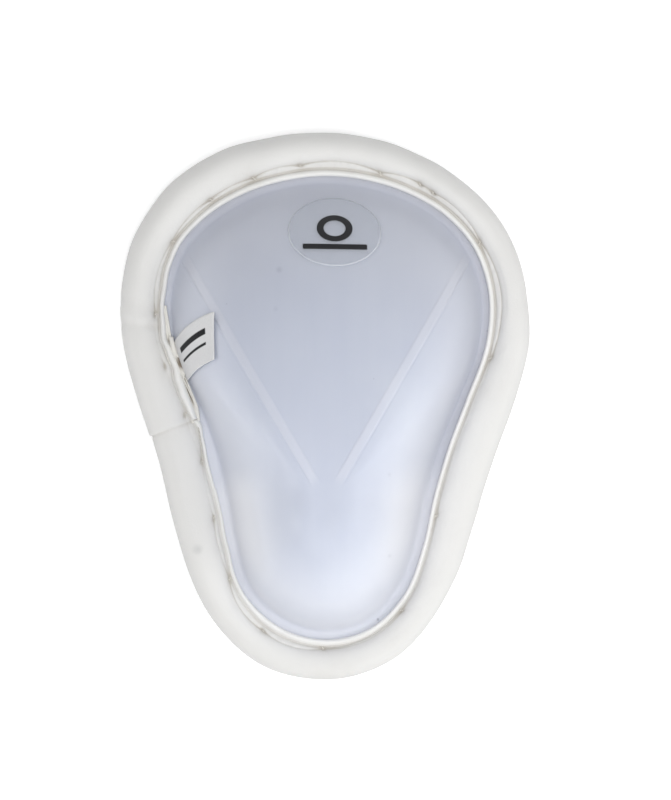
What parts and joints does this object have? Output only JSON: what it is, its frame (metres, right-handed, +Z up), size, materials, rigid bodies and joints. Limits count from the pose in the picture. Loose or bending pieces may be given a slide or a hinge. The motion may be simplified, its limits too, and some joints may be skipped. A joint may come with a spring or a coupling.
{
  "type": "cricket abdominal guard",
  "caption": "Moulded plastic cup with a padded leatherette rim, worn over the groin to guard it; stored lying on its flat rim with the hollow facing down.",
  "frame": {"origin": "middle of the flat underside of the padded rim, on the surface that the guard lies on", "axes": "+Z up out of the cup's nose, +Y to the broad end, which is worn uppermost, +X to the side that is on the right seen from above with the broad end away"},
  "size_m": [0.1122, 0.1502, 0.0552],
  "materials": {
    "cup_plastic": "milky, slightly see-through pale blue, smooth with a soft sheen",
    "rim_leatherette": "white coated cloth over foam, soft and slightly creased",
    "hem_leatherette": "white coated cloth, folded edge",
    "flap_leatherette": "cream back of the coated cloth",
    "label_fabric": "white woven label with two plain dark bars",
    "sticker_film": "clear film with a plain dark ring and bar printed on it"
  },
  "bodies": {
    "root": {"cup_shell": "cup_plastic", "padded_rim": "rim_leatherette", "face_hem": "hem_leatherette", "under_flap": "flap_leatherette", "size_tag": "label_fabric", "round_sticker": "sticker_film"}
  },
  "joints": []
}
